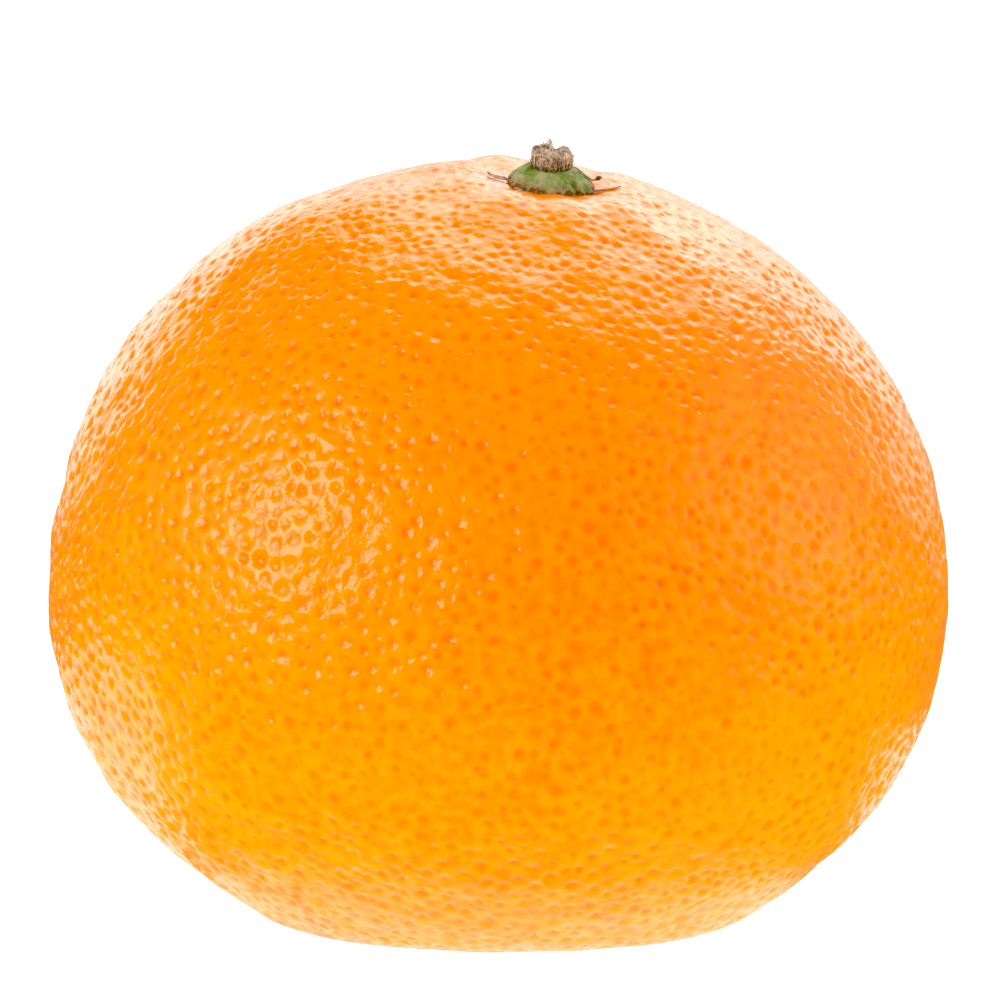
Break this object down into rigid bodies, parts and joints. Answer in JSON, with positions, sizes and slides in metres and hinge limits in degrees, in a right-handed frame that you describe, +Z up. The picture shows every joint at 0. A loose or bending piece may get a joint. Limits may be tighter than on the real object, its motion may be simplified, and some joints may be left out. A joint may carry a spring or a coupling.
{
  "type": "orange",
  "caption": "Whole mandarin-type orange: oblate, pitted, thin-skinned citrus fruit with green calyx button and dry stalk stub, resting on a small flat spot.",
  "frame": {"origin": "in the plane of the surface that the fruit stands on, under the middle of its outline seen from above", "axes": "+Z up, away from the surface it stands on; -Y is the side that the stalk end leans towards, and it leans a little towards +X"},
  "size_m": [0.0642, 0.0636, 0.0562],
  "materials": {
    "rind": "waxy citrus rind, deep orange, satin gloss over a fine net of ridges between oil-gland pits",
    "calyx": "matt green calyx, mottled yellow-green, with dried brown edges and tips",
    "dry_stalk": "dry grey-brown stalk fibre, matt, torn at the rim"
  },
  "bodies": {
    "root": {"fruit": "rind", "calyx": "calyx", "stem_stub": "dry_stalk"}
  },
  "joints": []
}
